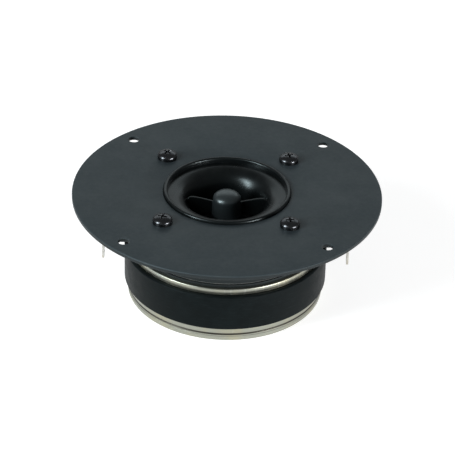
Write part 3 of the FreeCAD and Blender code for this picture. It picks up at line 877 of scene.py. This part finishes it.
def make_screws():
    """A pan-head machine screw, modelled once with its thread and copied to the four corners."""
    end, top = level("clamp_screws")
    seat = level("front_plate")[1]
    pitch = THREAD_PITCH
    root = SCREW_R - THREAD_DEPTH
    profile = [(0, end), (root - 0.2, end)]
    height = end + 0.3
    while height < seat - 1.2:
        profile += [(root, height), (SCREW_R, height + pitch * 0.4), (SCREW_R, height + pitch * 0.55)]
        height += pitch
    profile += [(root, seat - 0.6), (root, seat), (SCREW_HEAD_R - 0.1, seat), (SCREW_HEAD_R, seat + 0.1)]
    shoulder = seat + SCREW_HEAD_SIDE
    profile.append((SCREW_HEAD_R, shoulder))
    crown = 12
    for k in range(1, crown):
        turn = math.pi / 2 * k / crown
        profile.append((
            SCREW_HEAD_R * math.cos(turn) ** 0.85,
            shoulder + (top - shoulder) * math.sin(turn) ** 0.9,
        ))
    profile.append((0, top))
    screw = turned("clamp_screw", profile, steps=40)
    combine(screw, cross_cutter(top), "DIFFERENCE")
    settle(screw, "clamp_screw", 32)
    for number, (angle, turn) in enumerate(zip(FOUR_CORNERS, (18, 52, 77, 8)), 1):
        where = math.radians(angle)
        move = (SCREW_AT * math.cos(where), SCREW_AT * math.sin(where), 0)
        copy = own_copy(screw, f"clamp_screw_{number}", move, turn)
        fit(copy, "clamp_screws", ["clamp_screws"])
    bpy.data.objects.remove(screw)


def flare(inset=0.0, steps=26):
    """The horn's flare from the throat to the mouth as (radius, height) points."""
    throat_z = COIL_TOP_Z + 0.9
    mouth_z = level("front_plate")[1] - MOUTH_DEPTH
    power = 2 / FLARE_POWER
    points = []
    for k in range(steps + 1):
        turn = math.pi / 2 * (k / steps)
        points.append((
            MOUTH_R - (MOUTH_R - THROAT_R) * max(math.cos(turn), 0) ** power - inset,
            throat_z + (mouth_z - throat_z) * math.sin(turn) ** power,
        ))
    return points


def bell(flange_low, base_top):
    """The outside of the horn between its flange and its base."""
    points = []
    steps = 14
    for k in range(steps + 1):
        share = k / steps
        height = flange_low + (base_top - flange_low) * share
        points.append((BELL_WAIST_R + BELL_SWELL * (1 - share) ** BELL_CURVE, height))
    return points


def make_horn():
    low, top = level("horn")
    plate_top = level("front_plate")[1]
    face = level("front_plate")[0] + PLATE_RELIEF
    flange_r = reach("horn")
    flange_low = face - FLANGE_T
    base_top = low + HORN_BASE_T
    shoulder = plate_top + RIM_SIDE
    middle = (RIM_OUTER_R + RIM_INNER_R) / 2
    half = (RIM_OUTER_R - RIM_INNER_R) / 2
    rim = []
    for k in range(11):
        turn = math.pi * k / 10
        rim.append((middle - half * math.cos(turn), shoulder + (top - shoulder) * math.sin(turn)))
    outside = softened([
        (RIM_OUTER_R, face + 0.4, 0),
        (RIM_OUTER_R, face, 0),
        (flange_r, face, 0.25),
        (flange_r, flange_low, 0.4),
        (BELL_WAIST_R + BELL_SWELL + 1, flange_low, 0),
    ])[1:]
    foot = softened([
        (BELL_WAIST_R, base_top + 0.6, 0),
        (BELL_WAIST_R, base_top, 0.4),
        (COLLAR_R, base_top, 0.3),
        (COLLAR_R, low, 0.2),
        (BASE_RECESS_R, low, 0.1),
        (BASE_RECESS_R, low + BASE_RECESS, 0.1),
        (THROAT_R, low + BASE_RECESS, 0),
    ])[1:-1]
    mouth = flare()
    mouth_edge = [(RIM_INNER_R, mouth[-1][1])]
    profile = mouth + mouth_edge + rim + outside + bell(flange_low, base_top)[:-1] + foot
    horn = turned("horn_moulding", profile, steps=160, smooth=40)
    drilled(horn, SCREW_HOLE_R, SCREW_AT, FOUR_CORNERS, flange_low, face, 0.1)
    settle(horn, "horn_moulding", 40)
    fit(horn, "horn", ["horn"])


def make_horn_frame():
    """The base ring with its four pillars, each with a low gusset."""
    low, top = level("horn_frame")
    outer_r = reach("horn_frame")
    deck = low + FRAME_T
    ring = turned("frame_moulding", softened([
        (COLLAR_R + 0.05, low, 0.1),
        (outer_r, low, 0.2),
        (outer_r, deck, 0.45),
        (COLLAR_R + 0.05, deck, 0.2),
    ]), steps=160)
    for angle in FOUR_CORNERS:
        turn = math.radians(angle)
        at = (SCREW_AT * math.cos(turn), SCREW_AT * math.sin(turn))
        pillar = turned("pillar", [
            (0, low + 0.6), (PILLAR_R, low + 0.6), (PILLAR_R, deck + 0.1),
            (PILLAR_TOP_R + 0.04, (deck + top) / 2), (PILLAR_TOP_R, top - 0.2),
            (PILLAR_TOP_R - 0.2, top), (0, top),
        ], 48, at)
        wall = outer_r - 0.02
        shell = turned("shell", [(0, low), (wall, low), (wall, top + 1), (0, top + 1)], 160)
        combine(pillar, shell, "INTERSECT")
        combine(ring, pillar, "UNION")
        foot = COLLAR_R + 2
        middle = ((SCREW_AT + foot) / 2, 0, deck + GUSSET_H / 3)
        web = block((SCREW_AT - foot, GUSSET_T, GUSSET_H), middle)
        pick(web, lambda co: co.z > deck * MM and co.x < (foot + 1) * MM)
        bpy.ops.transform.translate(value=(0, 0, -GUSSET_FALL * MM))
        leave_edit()
        broken_edges(web, 0.25)
        spun_about_z(web, angle)
        combine(ring, web, "UNION")
    drilled(ring, SCREW_HOLE_R, SCREW_AT, FOUR_CORNERS, low, top)
    settle(ring, "frame_moulding")
    fit(ring, "diaphragm_carrier", ["horn_frame"])


def fin(side):
    """A thin web whose top line falls from its crest to the bullet and to the flare."""
    tall = FIN_CREST_Z - FIN_FOOT_Z
    inner = BULLET_R - 1
    long = FIN_END_R - inner
    web = block((long, FIN_T, tall), (inner + long / 2, 0, FIN_FOOT_Z + tall / 2))
    edit(web)
    bpy.ops.mesh.subdivide(number_cuts=7)
    leave_edit()
    for k in range(9):
        along = k / 8
        if along < FIN_CREST_AT:
            drop = FIN_FALL_IN * (1 - along / FIN_CREST_AT) ** 1.3
        else:
            drop = FIN_FALL_OUT * ((along - FIN_CREST_AT) / (1 - FIN_CREST_AT)) ** 2
        x = inner + along * long
        pick(web, lambda co: abs(co.x / MM - x) < 0.2)
        bpy.ops.transform.resize(
            value=(1, 1, 1 - drop / tall),
            center_override=(x * MM, 0, FIN_FOOT_Z * MM),
        )
        leave_edit()
    broken_edges(web, 0.25, 3, 50)
    spun_about_z(web, side)
    mouth = flare()
    air = turned("air", [(0, mouth[0][1])] + flare(0.05) + [(0, mouth[-1][1])], 128)
    combine(web, air, "INTERSECT")
    return web


def make_bullet():
    tip = level("phase_plug")[1]
    shoulder = tip - BULLET_NOSE_H
    skirt = shoulder - BULLET_SIDE_H
    hollow_r = DOME_SPHERE_R + BULLET_GAP

    def hollow(radius):
        return (radius, DOME_CENTRE_Z + math.sqrt(hollow_r**2 - radius**2))

    foot_z = hollow(BULLET_FOOT_R)[1]
    profile = [hollow(0)] + [hollow(BULLET_FOOT_R * k / 8) for k in range(1, 8)]
    profile.append(hollow(BULLET_FOOT_R - 0.15))
    for k in range(13):
        share = k / 12
        drop = (1 - share) ** 1.8
        radius = BULLET_R + (BULLET_FOOT_R - BULLET_R) * drop
        profile.append((radius, foot_z + 0.15 + (skirt - foot_z) * share))
    profile.append((BULLET_R, (skirt + shoulder) / 2))
    for k in range(18):
        turn = math.pi / 2 * k / 18
        profile.append((
            BULLET_R * math.cos(turn) ** (2 / BULLET_NOSE_POWER),
            shoulder + BULLET_NOSE_H * math.sin(turn) ** (2 / BULLET_NOSE_POWER),
        ))
    profile.append((0, tip))
    bullet = turned("bullet", profile, steps=72)
    for side in (0, 180):
        combine(bullet, fin(side), "UNION")
    settle(bullet, "bullet", 32)
    fit(bullet, "phase_plug", ["phase_plug"])


def stamped_disc(name, node_name, bore, roll):
    """A stamped steel disc: rolled over on its punched side, with a torn band on the other."""
    low, top = level(node_name)
    outer = reach(node_name)
    torn = outer - STAMPING_STEP
    return turned(name, softened([
        (bore, low, 0.1),
        (torn, low, 0.25),
        (torn, low + (top - low) * 0.3, 0),
        (outer, low + (top - low) * 0.38, 0),
        (outer, top, roll),
        (bore, top, 0.1),
    ], 4), steps=192)


def make_motor():
    top_plate = stamped_disc("motor_top_plate", "top_plate", TOP_PLATE_BORE_R, 0.5)
    low, top = level("top_plate")
    drilled(top_plate, TAPPED_HOLE_R, SCREW_AT, FOUR_CORNERS, low, top, steps=32)
    drilled(top_plate, PEG_HOLE_R, PEG_HOLES_AT, (90, 270), low, top, steps=24)
    settle(top_plate, "motor_top_plate")
    fit(top_plate, "plated_steel", ["top_plate"])

    inner = stamped_disc("rear_plate_inner", "inner_rear_plate", POLE_TENON_R, 0.55)
    fit(inner, "plated_steel", ["inner_rear_plate"])
    low, top = level("outer_rear_plate")
    outer_r = reach("outer_rear_plate")
    outer = turned("rear_plate_outer", softened([
        (POLE_TENON_R, low + POLE_RIVET_H, 0),
        (POLE_RIVET_R, low, 0.05),
        (outer_r, low, 0.45),
        (outer_r, top - 0.9, 0),
        (outer_r - STAMPING_STEP, top - 0.8, 0),
        (outer_r - STAMPING_STEP, top, 0.3),
        (POLE_TENON_R, top, 0.1),
    ], 4), steps=192)
    fit(outer, "plated_steel", ["outer_rear_plate"])

    low, top = level("magnet")
    outer_r = reach("magnet")
    cut = MAGNET_CHAMFER
    ring = turned("ferrite_ring", softened([
        (MAGNET_BORE_R, low + cut, 0.1),
        (MAGNET_BORE_R + cut, low, 0.1),
        (outer_r - cut, low, 0.15),
        (outer_r, low + cut, 0.15),
        (outer_r, top - cut, 0.15),
        (outer_r - cut, top, 0.15),
        (MAGNET_BORE_R + cut, top, 0.1),
        (MAGNET_BORE_R, top - cut, 0.1),
    ]), steps=192)
    fit(ring, "magnet", ["magnet"])

    low, top = level("pole_piece")
    shoulder = level("magnet")[0]
    pole = turned("pole", softened([
        (0, low + 0.6, 0),
        (1.2, low, 0.15),
        (POLE_RIVET_R, low, 0.05),
        (POLE_TENON_R, low + POLE_RIVET_H, 0),
        (POLE_TENON_R, shoulder, 0),
        (POLE_R, shoulder, 0.1),
        (POLE_R, top, 0.3),
        (0, top, 0),
    ]), steps=96)
    fit(pole, "plated_steel", ["pole_piece"])


def make_moving_part():
    sphere = DOME_SPHERE_R
    profile = []
    steps = 18
    for k in range(steps):
        radius = FORMER_R * (1 - k / steps)
        profile.append((radius, DOME_CENTRE_Z + math.sqrt(sphere**2 - radius**2)))
    inside = []
    for k in range(1, steps + 1):
        radius = (FORMER_R - 0.4) * k / steps
        inside.append((radius, DOME_CENTRE_Z + math.sqrt((sphere - DOME_WALL) ** 2 - radius**2)))
    profile = [(0, inside[0][1])] + inside + profile + [(0, DOME_CENTRE_Z + sphere)]
    cloth = turned("dome_cloth", profile, steps=96, smooth=50)
    fit(cloth, "cloth", ["dome"], "diaphragm")

    low, top = level("voice_coil_former")
    former = turned("coil_former", [
        (FORMER_R - 0.12, low), (FORMER_R, low), (FORMER_R, top), (FORMER_R - 0.12, top),
    ], steps=96)
    fit(former, "voice_coil_former", ["voice_coil_former"], "diaphragm")

    low, top = level("voice_coil")
    outer = reach("voice_coil")
    wire = (top - low) / COIL_TURNS
    wound = [(FORMER_R, low)]
    for k in range(COIL_TURNS):
        base = low + wire * k
        wound += [
            (outer - 0.06, base + wire * 0.04),
            (outer - 0.012, base + wire * 0.25),
            (outer, base + wire * 0.5),
            (outer - 0.012, base + wire * 0.75),
        ]
    wound += [(outer - 0.06, top), (FORMER_R, top)]
    coil = turned("wound_coil", wound, steps=96, smooth=60)
    fit(coil, "voice_coil", ["voice_coil"], "diaphragm")

    low, top = level("surround")
    outer = reach("surround")
    inner = FORMER_R + 0.08
    rise = top - FILM_T - low
    curve = []
    for k in range(17):
        share = k / 16
        smooth_step = share * share * (3 - 2 * share)
        curve.append((SURROUND_ROOT_R + (inner - SURROUND_ROOT_R) * share, low + rise * smooth_step))
    curve = [(outer, low)] + curve
    over = [(r, z + FILM_T) for r, z in reversed(curve)]
    surround = turned("surround_cloth", curve + over, steps=128, smooth=60)
    fit(surround, "cloth", ["surround"], None)
    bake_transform(surround)

    for node_name, side in (("lead_positive", 1), ("lead_negative", -1)):
        braid = refined(node_name, node_name.replace("lead", "braid"))
        fit(braid, "leads", [node_name], None)
        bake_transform(braid)


def make_carrier_and_tabs():
    carrier = refined("diaphragm_carrier", "carrier_moulding", 0.12)
    fit(carrier, "diaphragm_carrier", ["diaphragm_carrier"])

    low, top = level("horn_gasket")
    outer = reach("horn_gasket")
    gasket = turned("foam_gasket", softened([
        (GASKET_BORE_R, low, 0), (outer, low, 0.15), (outer, top, 0.15), (GASKET_BORE_R, top, 0),
    ]), steps=160)
    drilled(gasket, SCREW_HOLE_R + 0.2, SCREW_AT, FOUR_CORNERS, low, top, steps=32)
    settle(gasket, "foam_gasket")
    fit(gasket, "horn_gasket", ["horn_gasket"])

    low, top = level("damping_pad")
    pad = turned("felt_pad", softened([
        (0, low, 0), (PAD_R, low, 0.15), (PAD_R, top, 0.35), (0, top, 0),
    ], 4), steps=72)
    fit(pad, "damping_pad", ["damping_pad"])

    for name in ("terminal_positive", "terminal_negative"):
        tab = refined(name, name.replace("terminal", "tab"), 0.06)
        fit(tab, "terminals", [name])

    solder = refined("solder_joints", "solder_beads")
    fit(solder, "solder", ["solder_joints"])

    low, top = level("terminal_rivets")
    flange = 0.3
    eyelet = turned("eyelet_right", softened([
        (RIVET_BORE_R, low + 0.1, 0.08),
        (RIVET_BORE_R + 0.15, low, 0.05),
        (RIVET_R, low, 0.12),
        (RIVET_R, low + flange, 0.1),
        (RIVET_NECK_R, low + flange, 0),
        (RIVET_NECK_R, top - flange, 0),
        (RIVET_R, top - flange, 0.1),
        (RIVET_R, top, 0.14),
        (RIVET_BORE_R + 0.15, top, 0.05),
        (RIVET_BORE_R, top - 0.1, 0.08),
    ]), steps=48, at=(RIVETS_AT, 0))
    other = own_copy(eyelet, "eyelet_left", (-2 * RIVETS_AT, 0, 0))
    for piece in (eyelet, other):
        fit(piece, "terminal_rivets", ["terminal_rivets"])


# ---------------------------------------------------------------------- stage
def make_floor():
    bpy.ops.object.select_all(action="DESELECT")
    bpy.ops.mesh.primitive_plane_add(size=8.0, location=(0, 0, -0.0002))
    floor = bpy.context.object
    floor.name = "floor"
    pale = Finish("pale_floor", (0.62, 0.62, 0.62), 0.9, ior_level=0.0)
    pale.set("Emission Color", (1.0, 1.0, 1.0, 1.0))
    pale.set("Emission Strength", 0.78)
    faint = noise(pale.tree, pale.place, 30.0)
    pale.recolour(spread(pale.tree, faint, 0.3, 0.7), (0.6, 0.6, 0.6))
    floor.data.materials.append(pale.material)


COLD_LAMP = (0.9, 0.98, 1.0)


def softbox(name, place, aim, size, power, tint=(1.0, 1.0, 1.0)):
    """A soft rectangular lamp: metres and watts."""
    light = bpy.data.lights.new(name, "AREA")
    light.shape = "RECTANGLE"
    light.size, light.size_y = size
    light.energy = power
    light.color = tint
    lamp = bpy.data.objects.new(name, light)
    bpy.context.scene.collection.objects.link(lamp)
    lamp.location = place
    lamp.rotation_euler = (Vector(aim) - Vector(place)).to_track_quat("-Z", "Y").to_euler()


def make_lights():
    world = bpy.data.worlds.new("studio")
    bpy.context.scene.world = world
    world.use_nodes = True
    sky = world.node_tree.nodes["Background"]
    sky.inputs["Color"].default_value = (1.0, 1.0, 1.0, 1.0)
    sky.inputs["Strength"].default_value = 0.15
    softbox("back", (0.0, 1.6, 0.95), (0, 0, 0.03), (2.6, 0.8), 6, COLD_LAMP)
    softbox("left_high", (-0.95, -0.72, 0.82), (0, 0, 0.03), (0.5, 0.5), 7.5, COLD_LAMP)
    softbox("left", (-1.0, -0.57, 0.42), (0, 0, 0.03), (0.25, 0.6), 10, COLD_LAMP)
    softbox("right", (0.87, -0.73, 0.12), (0, 0, 0.02), (0.45, 0.16), 12)


def make_camera():
    eye = Vector((0.0, -0.6657, 0.4445))
    aim = Vector((0.0005, 0.0, 0.0247))
    lean = math.radians(1.603)
    data = bpy.data.cameras.new("camera")
    data.sensor_width = 36.0
    data.lens = 173.7
    data.clip_start = 0.01
    camera = bpy.data.objects.new("camera", data)
    bpy.context.scene.collection.objects.link(camera)
    camera.location = eye
    camera.rotation_mode = "QUATERNION"
    look = (aim - eye).to_track_quat("-Z", "Y")
    camera.rotation_quaternion = look @ Quaternion((0, 0, 1), lean)
    bpy.context.scene.camera = camera


make_front_plate()
make_screws()
make_horn()
make_horn_frame()
make_bullet()
make_motor()
make_moving_part()
make_carrier_and_tabs()
make_floor()
make_lights()
make_camera()
bpy.context.scene.view_settings.view_transform = "Standard"
